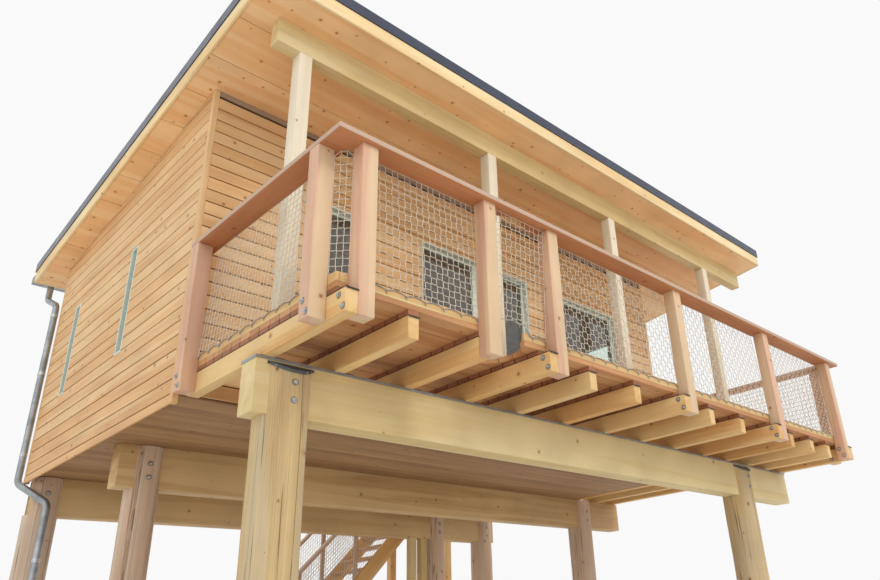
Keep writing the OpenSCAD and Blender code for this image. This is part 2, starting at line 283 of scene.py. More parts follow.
# Painted shade: a darker, more orange copy of the beam wood for the beams under the cabin, standing
# for their shade.
stock("painted_shade_beam_wood", (208, 174, 122), (176, 134, 84), (214, 184, 134), 0.5)
stock("beam_wood", (226, 206, 150), (202, 168, 110), (226, 208, 160), 0.6, 0.4)
stock("joist_wood", (232, 194, 132), (204, 148, 86), (232, 206, 150), 0.5, 0.4, spread=0.4)
stock("packer_wood", (176, 116, 80), (120, 72, 48), knots=0.2)
stock("deck_wood", (206, 152, 102), (160, 104, 64), (216, 172, 122), 0.4, 0.3)
stock("toe_wood", (224, 190, 132), (190, 144, 92), (226, 208, 150), 0.8, 0.35)
stock("post_wood", (222, 182, 154), (200, 150, 118), (222, 200, 160), 0.6, 0.3)
stock("cap_wood", (204, 140, 94), (162, 100, 62), knots=0.3, weather=(192, 170, 152))
stock("floor_wood", (176, 138, 92), (132, 94, 58), knots=0.45, spread=0.45)
stock("cladding", (228, 186, 130), (198, 146, 94), (232, 204, 158), 0.4, spread=0.25, cells=4.0)
# Painted shade: the dark wall behind the boards and planks stands for the shade in the gaps between
# them.
stock("painted_shade_core", (96, 62, 42), (60, 38, 26), knots=0)
stock("room_wood", (214, 130, 96), (184, 98, 66), knots=0.3)
stock("roof_post", (236, 226, 204), (214, 196, 164), knots=0.25, spread=0.1)
stock("trim_grey", (172, 150, 128), (140, 116, 96), knots=0)
stock("door_wood", (206, 158, 108), (164, 112, 70), knots=0.4)
stock("soffit_wood", (246, 202, 146), (228, 168, 112), (248, 216, 166), 0.5, 0.7, spread=0.15,
      cells=4.6)
stock("fascia_wood", (244, 220, 168), (224, 184, 128), (244, 226, 182), 0.5, 0.3)
print(len(WOOD), "woods")

# %% [markdown]
# Cord, metal, roofing and paint have no grain. A soft noise moves them between two near tones and
# changes their gloss a little, which is enough for surfaces this small.

# %% Cord, metal and paint
def speckled(name, pale, deep, rough, metal=0.0, scale=9.0, coat=0.0):
    m, t, p = blank(name, Roughness=rough, Metallic=metal, Coat_Weight=coat)
    spot = node(t, "ShaderNodeTexCoord").outputs["Object"]
    noise = chain(t, "ShaderNodeTexNoise", spot, Scale=scale, Detail=6.0, Roughness=0.65)
    feed(t, mix(t, ramp(t, noise, 0.35, 0.65), srgb(*pale), srgb(*deep)), p.inputs["Base Color"])
    feed(t, ramp(t, noise, 0.3, 0.7, rough - 0.08, rough + 0.1), p.inputs["Roughness"])
    bumped(t, p, noise, 0.1)
    return m


CORD = speckled("net cord", (230, 222, 206), (196, 184, 164), 0.85, scale=60.0)
LACING = speckled("lacing cord", (168, 164, 158), (130, 128, 126), 0.8, scale=60.0)
ZINC = speckled("zinc", (176, 180, 182), (140, 145, 148), 0.42, 0.85, scale=5.0)
# Painted shade and painted reflection: a dark blue-grey for the half-moon plates, darker than the
# zinc cover, standing for the shade and dark reflection on them.
PLATE_SHADE = speckled("plate metal painted shade", (104, 112, 118), (76, 84, 90), 0.5, 0.4, scale=6.0)
EDGE = speckled("dark metal edge", (44, 54, 80), (30, 38, 58), 0.35, 0.3, scale=3.0, coat=0.3)
ROOFING = speckled("roofing sheet", (58, 60, 62), (42, 44, 46), 0.75, scale=6.0)
PAINT = speckled("frame paint", (216, 224, 212), (194, 206, 192), 0.5, scale=4.0)
STEEL = speckled("bright zinc", (206, 208, 210), (170, 172, 174), 0.3, 0.95, scale=40.0)
BLACK = speckled("black tape", (34, 34, 36), (22, 22, 24), 0.6, scale=12.0)
print(len(bpy.data.materials), "materials")

# %% [markdown]
# A real timber has no knife-sharp edge. A copy of each node is merged, its separate timbers are
# found, each gets its grain coordinates from its own longest direction, and a narrow bevel rounds
# it.

# %% Grain coordinates
import bmesh

dice = random.Random(4)


def islands(mesh):
    """The vertices of each separate timber, found by joining the ends of every edge."""
    parent = list(range(len(mesh.vertices)))

    def root(i):
        while parent[i] != i:
            parent[i] = parent[parent[i]]
            i = parent[i]
        return i
    for e in mesh.edges:
        a, b = root(e.vertices[0]), root(e.vertices[1])
        if a != b:
            parent[a] = b
    groups = {}
    for i in range(len(parent)):
        groups.setdefault(root(i), []).append(i)
    return sorted(groups.values())


def longest(pts, mid, size):
    """The timber's direction: its box's long side, or the diagonal of a long sloping timber."""
    if len(pts) < 14 and sorted(size)[1] > 0.45 * size.max() and size.max() > 1.5:
        end = pts[np.argmax(((pts[:, None] - pts[None]) ** 2).sum(2).sum(1))]
        return (end - mid) / np.linalg.norm(end - mid)
    return np.eye(3)[int(size.argmax())]


def store(mesh, name, kind, values):
    layer = mesh.attributes.new(name, kind, "POINT").data
    layer.foreach_set("value" if kind == "FLOAT" else "vector", values)


def write_grain(mesh, along=None):
    co = np.array([v.co for v in mesh.vertices])
    grain = np.zeros_like(co)
    tone = np.zeros(len(co))
    for group in islands(mesh):
        pts = co[group]
        mid, size = (pts.max(0) + pts.min(0)) / 2, pts.max(0) - pts.min(0)
        axis = longest(pts, mid, size) if along is None else np.array(along, float)
        side = np.cross(axis, np.eye(3)[int(np.abs(axis).argmin())])
        side /= np.linalg.norm(side)
        base = np.stack([axis, side, np.cross(axis, side)])
        shift = [dice.uniform(0, 9), dice.uniform(-0.25, 0.25), dice.uniform(-0.25, 0.25)]
        grain[group] = (pts - mid) @ base.T + np.array(shift)
        tone[group] = dice.random()
    store(mesh, "grain", "FLOAT_VECTOR", grain.astype(np.float32).ravel())
    store(mesh, "tone", "FLOAT", tone.astype(np.float32))


# %% [markdown]
# Every piece goes through one place: it rides on the house's one body and hides the construction
# nodes it stands for. A table then says which wood each node is.

# %% Timbers
def show(obj, slot, *nodes):
    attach(obj, "root")
    if nodes:
        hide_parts(*nodes)
    print(obj.name, len(obj.data.polygons), "faces")
    return obj


def merged(name):
    """A node's loose triangles as a clean copy with flat faces."""
    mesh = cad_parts[name].data.copy()
    b = bmesh.new()
    b.from_mesh(mesh)
    bmesh.ops.remove_doubles(b, verts=b.verts, dist=0.0002)
    bmesh.ops.dissolve_limit(b, angle_limit=0.02, verts=b.verts, edges=b.edges)
    b.to_mesh(mesh)
    b.free()
    for layer in ("custom_normal", "sharp_face"):
        if layer in mesh.attributes:
            mesh.attributes.remove(mesh.attributes[layer])
    mesh.materials.clear()
    return mesh


def solid(name, mesh, slot, finish, bevel=0.004, nodes=()):
    mesh.name = name
    mesh.materials.append(finish)
    obj = placed(name, mesh)
    if bevel:
        m = obj.modifiers.new("bevel", "BEVEL")
        m.width, m.segments, m.limit_method, m.angle_limit = bevel, 2, "ANGLE", 0.6
    return show(obj, slot, *nodes)


def timber(name, mesh, slot, bevel=0.005, finish=None, nodes=()):
    write_grain(mesh)
    return solid(name, mesh, slot, WOOD[finish or slot], bevel, nodes)


TIMBER = {
    "beam_wood": "beam_front beam_mid beam_rear eaves_beam roof_posts squared_posts",
    "joist_wood": "joists stringers landing_posts", "toe_wood": "toe_front toe_sides",
    "post_wood": "rail_posts", "cap_wood": "cap_front cap_sides stair_rail",
    "deck_wood": "treads landing", "fascia_wood": "fascia", "door_wood": "rear_door",
}
# The middle and rear beams take the darker copy of the beam wood, which is painted shade.
SPECIAL = {"roof_posts": "roof_post", "beam_mid": "painted_shade_beam_wood", "beam_rear": "painted_shade_beam_wood"}
for slot, names in TIMBER.items():
    for name in names.split():
        timber(name + "_timber", merged(name), slot, finish=SPECIAL.get(name), nodes=[name])

# %% [markdown]
# Boards, cords and bolts repeat hundreds of times, so Geometry Nodes make them. These helpers open
# a tree with named sizes, close it with Realize Instances and Set Material, and grow a plain mesh
# from it: the modifier is set by each socket's identifier, evaluated once, and then removed.

# %% Geometry Nodes helpers
def open_tree(name, **sizes):
    t = bpy.data.node_groups.new(name, "GeometryNodeTree")
    kinds = {int: "Int", float: "Float"}
    t.interface.new_socket("Geometry", in_out="INPUT", socket_type="NodeSocketGeometry")
    for label, value in sizes.items():
        kind = "NodeSocket" + kinds[type(value)]
        t.interface.new_socket(label, in_out="INPUT", socket_type=kind).default_value = value
    t.interface.new_socket("Finish", in_out="INPUT", socket_type="NodeSocketMaterial")
    t.interface.new_socket("Geometry", in_out="OUTPUT", socket_type="NodeSocketGeometry")
    return t, t.nodes.new("NodeGroupInput").outputs


def close_tree(t, size, geometry):
    real = chain(t, "GeometryNodeRealizeInstances", geometry)
    paint = chain(t, "GeometryNodeSetMaterial", real, Material=size["Finish"])
    feed(t, paint, node(t, "NodeGroupOutput").inputs[0])
    return t


def grow(name, base, tree, **sizes):
    obj = placed(name, base)
    mod = obj.modifiers.new(tree.name, "NODES")
    mod.node_group = tree
    for s in tree.interface.items_tree:
        if s.in_out == "INPUT" and s.name in sizes:
            mod[s.identifier] = sizes[s.name]
    settle(obj)
    obj.data.name = name
    return obj


def settle(obj):
    """Turn what the object's modifiers make into its plain mesh."""
    ready = obj.evaluated_get(bpy.context.evaluated_depsgraph_get())
    plain = bpy.data.meshes.new_from_object(ready)
    obj.modifiers.clear()
    obj.data = plain


# %% [markdown]
# A board is a rectangle with eased edges swept along its centre line. The tree turns each edge of
# a wire mesh into one board, writes the grain attribute from the length along the line and the
# place in the profile, and gives each board its own random tone. A board that a window cuts to
# less height carries the loss in the attribute named extra.

# %% Board tree
def capture(t, geometry, value, kind, domain="POINT"):
    n = node(t, "GeometryNodeCaptureAttribute", domain=domain)
    n.capture_items.new(kind, "kept")
    feed(t, geometry, n.inputs[0])
    feed(t, value, n.inputs[1])
    return n.outputs[0], n.outputs[1]


def board_tree():
    t, size = open_tree("boards", Across=0.02, Up=0.13, Edge=0.002, Tilt=0.0, Seed=1)
    position, index = (chain(t, "GeometryNodeInput" + what) for what in ("Position", "Index"))
    length = node(t, "GeometryNodeSplineParameter").outputs["Length"]
    rail = chain(t, "GeometryNodeMeshToCurve", size[0])
    rail = chain(t, "GeometryNodeSetCurveNormal", rail, mode="Z_UP")
    rail = chain(t, "GeometryNodeSetCurveTilt", rail, Tilt=size["Tilt"])
    rail, along = capture(t, rail, length, "FLOAT")
    rail, centre = capture(t, rail, position, "VECTOR")
    luck = []
    for k in range(3):
        seed = maths(t, "ADD", size["Seed"], float(k))
        drawn = node(t, "FunctionNodeRandomValue", ID=index, Seed=seed).outputs[1]
        rail, kept = capture(t, rail, drawn, "FLOAT", "CURVE")
        luck.append(kept)
    shape = chain(t, "GeometryNodeCurvePrimitiveQuadrilateral", size["Across"], size["Up"])
    shape = chain(t, "GeometryNodeFilletCurve", shape, mode="POLY", Radius=size["Edge"])
    shape, place = capture(t, shape, position, "VECTOR")
    board = chain(t, "GeometryNodeCurveToMesh", rail, Profile_Curve=shape, Fill_Caps=True)
    extra = chain(t, "GeometryNodeInputNamedAttribute", "extra", data_type="FLOAT")
    taller = vmath(t, "MULTIPLY", vmath(t, "SUBTRACT", position, centre), xyz(t, 0.0, 0.0, extra))
    board = chain(t, "GeometryNodeSetPosition", board, Offset=taller)
    side = node(t, "ShaderNodeSeparateXYZ", Vector=place).outputs
    spot = xyz(t, maths(t, "ADD", along, maths(t, "MULTIPLY", luck[0], 9.0)),
               maths(t, "ADD", side[1], maths(t, "SUBTRACT", luck[1], 0.5)),
               maths(t, "ADD", side[0], maths(t, "SUBTRACT", luck[2], 0.5)))
    board = chain(t, "GeometryNodeStoreNamedAttribute", board, data_type="FLOAT_VECTOR",
                  Name="grain", Value=spot)
    board = chain(t, "GeometryNodeStoreNamedAttribute", board, data_type="FLOAT",
                  Name="tone", Value=luck[0])
    board = chain(t, "GeometryNodeSetShadeSmooth", board, Shade_Smooth=False)
    return close_tree(t, size, board)


BOARDS = board_tree()


def drawn(name, verts, edges=(), faces=()):
    mesh = bpy.data.meshes.new(name)
    mesh.from_pydata(verts, edges, faces)
    return mesh


def wires(name, runs):
    """A mesh of edges alone: one chain through the places of each run."""
    spots, edges = [], []
    for run in runs:
        edges += [(len(spots) + k, len(spots) + k + 1) for k in range(len(run) - 1)]
        spots += [at(*p[:3]) for p in run]
    return drawn(name, spots, edges)


def boards(name, slot, runs, across, up, edge=2, tilt=0.0, seed=1, replaces=(), finish=None):
    """One board a run. A place's fourth number is the share that the board is higher there."""
    base = wires(name, runs)
    store(base, "extra", "FLOAT", [p[3] if len(p) > 3 else 0 for run in runs for p in run])
    obj = grow(name, base, BOARDS, Across=across / 1000, Up=up / 1000, Edge=edge / 1000,
               Tilt=tilt, Seed=seed, Finish=finish or WOOD[slot])
    return show(obj, slot, *replaces)


# %% [markdown]
# The cabin wears horizontal boards 127 mm high with dark shadow gaps of 11.5 mm. Behind them
# stands the wall itself, its outer face set back by the boards' thickness so that the wall keeps
# its true size, and coloured dark: painted shade, seen in the gaps. The floor and the roof are set
# back for their planks too, with the same painted shade behind them.

# %% Wall, roof and floor cores
FACE, PLANK, SOFFIT = 22, 20, 18  # thickness of the boards outside, under the floor and roof
NEAR, FAR = at(CABIN_W, CABIN_S, 0), at(CABIN_E, CABIN_N, 0)


def core(name, slot, moves):
    mesh = merged(name)
    outer = set()
    for v in mesh.vertices:
        spot = v.co.copy()
        for on_face, move in moves:
            if on_face(spot):
                v.co += Vector(move) / 1000
                outer.add(v.index)
    # The moved outer faces take the dark core colour, painted shade for the board gaps; the rest
    # take the room's wood.
    timber(name + "_core", mesh, slot, 0, "painted_shade_core", [name])
    mesh.materials.append(WOOD["room_wood"])
    for f in mesh.polygons:
        f.material_index = 0 if all(i in outer for i in f.vertices) else 1


SIDES = [(lambda p: p.x < NEAR.x + 0.001, (FACE, 0, 0)),
         (lambda p: p.x > FAR.x - 0.001, (-FACE, 0, 0)),
         (lambda p: p.y < NEAR.y + 0.001, (0, FACE, 0)),
         (lambda p: p.y > FAR.y - 0.001, (0, -FACE, 0))]
FOOT = (lambda p: abs(p.z - NEAR.z) < 0.001, (0, 0, PLANK))
CEILING = (lambda p: p.z < at(0, 0, under(p.y * 1000 + MID_Y) + 10).z, (0, 0, SOFFIT))
for name in ("wall_west", "wall_east", "wall_front", "wall_rear"):
    core(name, "cladding", SIDES + [FOOT])
core("cabin_floor", "floor_wood", [FOOT])
core("roof_panel", "soffit_wood", [CEILING])

# %% [markdown]
# Each row of cladding is one line, cut where a window or a door is. A row that a sill or a lintel
# meets goes on past it with less height. Under the sloping roof the top rows end in a point: their
# line gets a corner, and the height runs out from there to the tip.

# %% Cladding rows
PITCH, BOARD, FIRST = 138.5, 127, 22.5  # rows, board height, foot of the first whole board
CORNER, SKIRT = 55, -71  # side of the corner boards, foot of the west wall's boards
LEAST = 15  # no board is left with less height
HOLES = {  # windows and doors: from, to, sill, lintel
    "front": [(1000, 1900, 1100, 2450), (2620, 4500, 272, 2470), (5200, 6500, 1100, 2450)],
    "west": [(3910, 4090, 840, 2090), (5660, 5840, 840, 2000)],
    "east": [(3000, 3900, 1100, 2450)],
    "rear": [(1200, 2100, 1100, 2300), (3600, 4500, 1100, 2300), (6350, 7250, 272, 2300)],
}


def rows(lo, hi, low, high, holes, place):
    runs = []

    def row(a, b, z0, z1):
        mid, extra = (z0 + z1) / 2, (z1 - z0) / BOARD - 1
        runs.append([(*place(a, mid), extra), (*place(b, mid), extra)])
    k = math.floor((low - FIRST) / PITCH)
    while FIRST + k * PITCH <= high - LEAST:
        z0, z1 = max(FIRST + k * PITCH, low), min(FIRST + k * PITCH + BOARD, high)
        k += 1
        if z1 - z0 < LEAST:
            continue
        hit = sorted(h for h in holes if h[2] < z1 - 1 and h[3] > z0 + 1)
        cuts = [lo] + [x for h in hit for x in h[:2]] + [hi]
        for a, b in zip(cuts[::2], cuts[1::2]):
            row(a, b, z0, z1)
        for a, b, sill, lintel in hit:
            if sill > z0 + 8:
                row(a, b, z0, sill)
            if lintel < z1 - 8:
                row(a, b, lintel, z1)
    return runs


def gable(lo, hi, place):
    runs = []
    roof = under(lo) - 2  # the boards stop 2 mm under the roof
    k = math.floor((under(hi) - FIRST) / PITCH)
    while FIRST + k * PITCH < under(lo) - 20:
        z0, z1 = FIRST + k * PITCH, FIRST + k * PITCH + BOARD
        k += 1
        full, tip = (CABIN_S + (ROOF_Z - 2 - z) / FALL for z in (z1, z0))
        if full > lo:
            run = [(*place(y, (z0 + z1) / 2), 0) for y in (lo, min(full, hi))]
        else:
            run = [(*place(lo, (z0 + roof) / 2), (roof - z0) / BOARD - 1)]
        if full < hi:
            end = min(tip, hi)
            tall = max(under(end) - 2 - z0, 1)
            run.append((*place(end, z0 + tall / 2), tall / BOARD - 1))
        runs.append(run)
    return runs


TURN = FIRST + math.floor((under(CABIN_N - CORNER) - FIRST) / PITCH) * PITCH  # first sloped row
for name, y, high, seed in (("front", CABIN_S + FACE / 2, 3222, 3),
                            ("rear", CABIN_N - FACE / 2, under(CABIN_N) - 3, 4)):
    wall = rows(CABIN_W + CORNER, CABIN_E - CORNER, 0, high, HOLES[name], lambda x, z: (x, y, z))
    boards("cladding_" + name, "cladding", wall, FACE, BOARD, 3, seed=seed)
for name, x, low, seed in (("west", CABIN_W + FACE / 2, SKIRT, 5),
                           ("east", CABIN_E - FACE / 2, 0, 6)):
    ends = CABIN_S + CORNER, CABIN_N - CORNER
    wall = rows(*ends, low, TURN, HOLES[name], lambda y, z: (x, y, z))
    wall += gable(*ends, lambda y, z: (x, y, z))
    boards("cladding_" + name, "cladding", wall, FACE, BOARD, 3, seed=seed)
corners = [[(x, y, low), (x, y, under(y + 27) - 3)]
           for x, low in ((CABIN_W + CORNER / 2, SKIRT), (CABIN_E - CORNER / 2, 0))
           for y in (CABIN_S + CORNER / 2, CABIN_N - CORNER / 2)]
boards("corner_boards", "cladding", corners, CORNER, CORNER, 3, seed=8)
strip = [(x, CABIN_S + FACE / 2, 3256) for x in (CABIN_W + CORNER, CABIN_E - CORNER)]
boards("top_strip", "cladding", [strip], FACE, 60, 2, seed=9, finish=WOOD["trim_grey"])

# %% [markdown]
# Four more surfaces are laid from boards: the balcony deck, a packer block under every deck board
# on every joist, the planks under the cabin floor, and the wide planks of the roof underside,
# tilted by the slope. A Boolean cuts the round hole in the deck; the grain is then written again.

# %% Deck, packers, floor and roof planks
PACKER = 226  # the packers' top, which the deck boards lie on
ROWS = [(130, 264)] + [(118 + 152.4 * i, 264 + 152.4 * i) for i in range(1, 29)]
JOISTS = [0, 634, 1346, 2062, 2759, 3460, 4170, 4870, 5560, 6250, 6848, 7446, 7980, 8420]
JOIST = 100


def deck_runs(rows):
    runs = []
    for i, (y0, y1) in enumerate(rows):
        y1 = min(y1, DECK_N - 2)
        cut = (2812, 4220, 5610, 6300)[i * 3 % 4]
        ends = [(2, cut - 2), (cut + 2, DECK_E - 2)]
        if y1 > CABIN_S + 2:
            ends = [(CABIN_E + 2, DECK_E - 2)]
        runs += [[(x, (y0 + y1) / 2, DECK_TOP - 23) for x in pair] for pair in ends]
    return runs


def carve(obj, cutter_mesh):
    cutter = placed("cutter", cutter_mesh)
    m = obj.modifiers.new("cut", "BOOLEAN")
    m.object, m.operation, m.solver = cutter, "DIFFERENCE", "EXACT"
    settle(obj)
    bpy.data.objects.remove(cutter)


def formed(make, centre, stretch=(1, 1, 1), **values):
    """A cutter's mesh: a bmesh primitive, stretched and put in its place."""
    b = bmesh.new()
    make(b, **values)
    bmesh.ops.scale(b, vec=stretch, verts=b.verts)
    bmesh.ops.translate(b, vec=at(*centre), verts=b.verts)
    mesh = bpy.data.meshes.new("cutter")
    b.to_mesh(mesh)
    b.free()
    return mesh


def block(x0, x1, y0, y1, z0, z1):
    return formed(bmesh.ops.create_cube, ((x0 + x1) / 2, (y0 + y1) / 2, (z0 + z1) / 2),
                  Vector((x1 - x0, y1 - y0, z1 - z0)) / 1000, size=1)


def drum(x, y, z0, z1, r):
    return formed(bmesh.ops.create_cone, (x, y, (z0 + z1) / 2), cap_ends=True, segments=64,
                  radius1=r / 1000, radius2=r / 1000, depth=(z1 - z0) / 1000)


for name, laid, wide, nodes in (("deck_edge_board", ROWS[:1], 134, []),
                                ("deck_boards", ROWS[1:], 146, ["deck"])):
    deck = boards(name, "deck_wood", deck_runs(laid), wide, 46, 4, seed=11, replaces=nodes)
    carve(deck, drum(1755, 440, 100, 400, 290))
    if not nodes:  # the edge board also gives way to the slot
        carve(deck, block(1623, 1887, 100, 440, 100, 400))
    for layer in ("grain", "tone"):
        deck.data.attributes.remove(deck.data.attributes[layer])
    write_grain(deck.data, (1, 0, 0))
blocks = [[(x + JOIST / 2, y, PACKER - 23) for y in (y0 + 3, y1 - 3)] for x in JOISTS
          for y0, y1 in ROWS if y1 < (DECK_N - 2 if x > CABIN_E else CABIN_S + 2)]
boards("packer_blocks", "packer_wood", blocks, 98, 45, 2, seed=14, replaces=["packers"])
planks = [[(x, CABIN_S + 25 + 147 * i + 71, PLANK / 2) for x in (CABIN_W + 24, CABIN_E - 24)]
          for i in range(28)]
boards("floor_planks", "floor_wood", planks, 143, PLANK, 3, seed=12)
soffit = [[(x, y, under(y) + SOFFIT / 2) for x in (-368, 8668)] for y in range(1151, 7333, 562)]
boards("roof_planks", "soffit_wood", soffit, 559, SOFFIT, 2, tilt=-math.atan(FALL), seed=13)

# %% [markdown]
# The railing is filled with rope nets. A net is a wire mesh of square cells of 60 mm, drawn bay by
# bay, and each crossing is split in two like the short doubled stretch of a knotless net. Geometry
# Nodes shake the crossings a little and sweep a cord along every wire. At the bottom the net hangs
# on a grey lacing cord that is hooked to the toe board every 180 mm or so, which scallops its
# edge.

# %% Cords
def cord_tree():
    t, size = open_tree("cords", Cord=0.006, Shake=0.002, Sides=4, Seed=1)
    luck = node(t, "FunctionNodeRandomValue", data_type="FLOAT_VECTOR", Seed=size["Seed"])
    luck.inputs[0].default_value = (-1, -1, -1)
    shake = vmath(t, "MULTIPLY", luck.outputs[0], xyz(t, *[size["Shake"]] * 3))
    rail = chain(t, "GeometryNodeSetPosition", size[0], Offset=shake)
    rail = chain(t, "GeometryNodeMeshToCurve", rail)
    ring = chain(t, "GeometryNodeCurvePrimitiveCircle", size["Sides"],
                 Radius=maths(t, "MULTIPLY", size["Cord"], 0.5))
    cord = chain(t, "GeometryNodeCurveToMesh", rail, Profile_Curve=ring, Fill_Caps=True)
    return close_tree(t, size, chain(t, "GeometryNodeSetShadeSmooth", cord))


CORDS = cord_tree()
HOOK, CELL = 182, 60
LOW, HIGH = 300, 1406  # heights where a net's foot and head are given


def hang(feet, heads, u, z):
    """The place on a net, at the share u of its width and the height z."""
    foot = [a + (b - a) * u for a, b in zip(*feet)]
    head = [a + (b - a) * u for a, b in zip(*heads)]
    up = (z - LOW) / (HIGH - LOW)
    return at(foot[0] + (head[0] - foot[0]) * up, foot[1] + (head[1] - foot[1]) * up, foot[2] + z)


def weave(spots, edges, feet, heads, low, high, knot=1.5):
    """A net's wires. Low and high are its edges' heights, knot half a doubled stretch."""
    run = math.dist(*feet)
    nx = max(3, round(run / CELL))
    base = min(low(k / 8) for k in range(9))
    tall = high(0.5) - base
    nz = round(tall / CELL)
    first = len(spots)

    def turn(i, j):
        return 1 if (i + j) % 2 else -1

    def spot(i, j, s):
        return first + (i * (nz + 1) + j) * 2 + (s > 0)
    crossings = [(i, j) for i in range(nx + 1) for j in range(nz + 1)]
    for i, j in crossings:
        for s in (-1, 1):
            u = i / nx + s * knot / run * (0 < i < nx)
            z = base + tall * j / nz + s * turn(i, j) * knot * (0 < j < nz)
            spots.append(hang(feet, heads, u, min(max(z, low(i / nx)), high(i / nx))))
    for i, j in crossings:
        if 0 < i < nx or 0 < j < nz:
            edges.append((spot(i, j, -1), spot(i, j, 1)))
        if i < nx:
            edges.append((spot(i, j, 1), spot(i + 1, j, -1)))
        if j < nz:
            edges.append((spot(i, j, turn(i, j)), spot(i, j + 1, -turn(i, j + 1))))


def lace(spots, edges, feet, heads, low):
    """The lacing cord along a net's foot, with a short tail at every hook."""
    run = math.dist(*feet)
    hooks = max(1, round(run / HOOK))
    for k in range(hooks * 6 + 1):
        if k:
            edges.append((len(spots) - 1, len(spots)))
        spots.append(hang(feet, heads, k / hooks / 6, low(k / hooks / 6) - 3))
    for k in range(hooks + 1):
        z = low(k / hooks)
        edges.append((len(spots), len(spots) + 1))
        spots += [hang(feet, heads, k / hooks, z + 4),
                  hang(feet, heads, k / hooks + 3 / run, z - 26)]


def net(name, bays, replaces, seed):
    woven, laced = ([], []), ([], [])
    for feet, heads, low, high, *knot in bays:
        weave(*woven, feet, heads, low, high, *knot)
        lace(*laced, feet, heads, low)
    for label, wire, cord, shake, sides, finish, nodes in (
            (name, woven, 0.0064, 0.001, 4, CORD, replaces),
            (name + "_lacing", laced, 0.0075, 0.0005, 6, LACING, [])):
        show(grow(label, drawn(label, *wire), CORDS, Cord=cord, Shake=shake, Sides=sides,
                  Seed=seed, Finish=finish), "net", *nodes)


# %% [markdown]
# The nets lean inwards, because they are tied to the toe boards outside and to the rail cap above.
# In the second bay of the front the foot is raised over the slot in the deck, and the corner
# sheets close the gap between the posts with a curved foot and head.

# %% Nets
def scallop(length):
    hooks = max(1, round(length / HOOK))
    return lambda u: 316 + 22 * abs(math.sin(math.pi * u * hooks)) ** 0.8


def raised(low):
    return lambda u: low(u) + 78 * min(1, max(0, 3 - 10 * abs(u - 0.4)))


def top(u):
    return HIGH


def arch(u):
    return 1402 - 45 * abs(2 * u - 1) ** 3


def corner_low(u):
    return 353 + 12 * abs(math.sin(math.pi * u))


def upright(p0, p1, low, high=top):
    return (p0, p1), (p0, p1), low, high


def leaning(foot, head, y0, y1):
    """A side net, whose foot and head lie at two different X."""
    return *(((x, y0, 0), (x, y1, 0)) for x in (foot, head)), scallop(abs(y1 - y0)), top


POSTS = [100, 1346, 2162, 4270, 6350, 8280]  # west faces of the front posts
bays = []
for a, b in zip(POSTS, POSTS[1:]):
    low, head = scallop(b - a - 144), 162
    if a == 1346:
        low, head = raised(low), 56
    feet, heads = (((a + 142, y, 0), (b - 2, y, 0)) for y in (121, head))
    bays.append((feet, heads, low, top, 8 if a > 2000 else 4))
net("net_front_cords", bays, ["net_front"], 21)
net("net_west_cords", [
    leaning(-9, 66, 2236, 363),
    upright((3, 235, 0), (104, 133, 0), corner_low, arch)], ["net_west"], 22)
net("net_east_cords", [
    leaning(8529, 8454, 363, 2236), leaning(8529, 8454, 2368, 4398),
    upright((8517, 235, 0), (8416, 133, 0), corner_low, arch),
    upright((7402, 4466, 0), (8438, 4466, 0), lambda u: 58 + scallop(1036)(u))], ["net_east"], 23)
STEPS, STAIR_X, GOING = 20, 2350, 200
RISE = (JOISTS_UP + DECK_TOP) / STEPS


def nose(x):
    """Height of the stair's nosing line."""
    return (x - STAIR_X) * RISE / GOING + RISE - JOISTS_UP


stair = [upright((6252, 7657, 0), (7498, 7657, 0), lambda u: 284),
         upright((7540, 6549, 0), (7540, 7615, 0), lambda u: 284)]
for y in (6727, 7687):
    for n in range(3):
        ends = [(x, y, nose(x)) for x in (STAIR_X + 462 + n * 1000, STAIR_X + 1398 + n * 1000)]
        stair.append(upright(*ends, lambda u: 12, lambda u: 995))
net("stair_net_cords", stair, ["stair_nets"], 24)

# %% [markdown]
# The peeled logs are never quite round. Each is a ring-by-ring mesh whose radius wanders with a
# slow noise, with a few drying cracks pressed in. A Boolean cuts the slot for its beam, and a
# second one slopes the shoulder in front of the front beam, where a metal plate will lie.

# %% Logs
from mathutils import noise


def closed(verts, faces):
    mesh = drawn("closed", verts, faces=faces)
    b = bmesh.new()
    b.from_mesh(mesh)
    bmesh.ops.recalc_face_normals(b, faces=b.faces)
    b.to_mesh(mesh)
    b.free()
    return mesh


def prism(outline, x0, x1):
    """A solid of the outline, drawn in Y and Z, from x0 to x1."""
    n = len(outline)
    faces = [tuple(range(n)), tuple(range(2 * n - 1, n - 1, -1))]
    faces += [(k, k + n, (k + 1) % n + n, (k + 1) % n) for k in range(n)]
    return closed([at(x, y, z) for x in (x0, x1) for y, z in outline], faces)


def wedge(x, beam_y):
    foot, back = beam_y - 200, beam_y + 0.5
    return prism([(back, -36), (foot, -174), (foot, 60), (back, 60)], x - 400, x + 400)


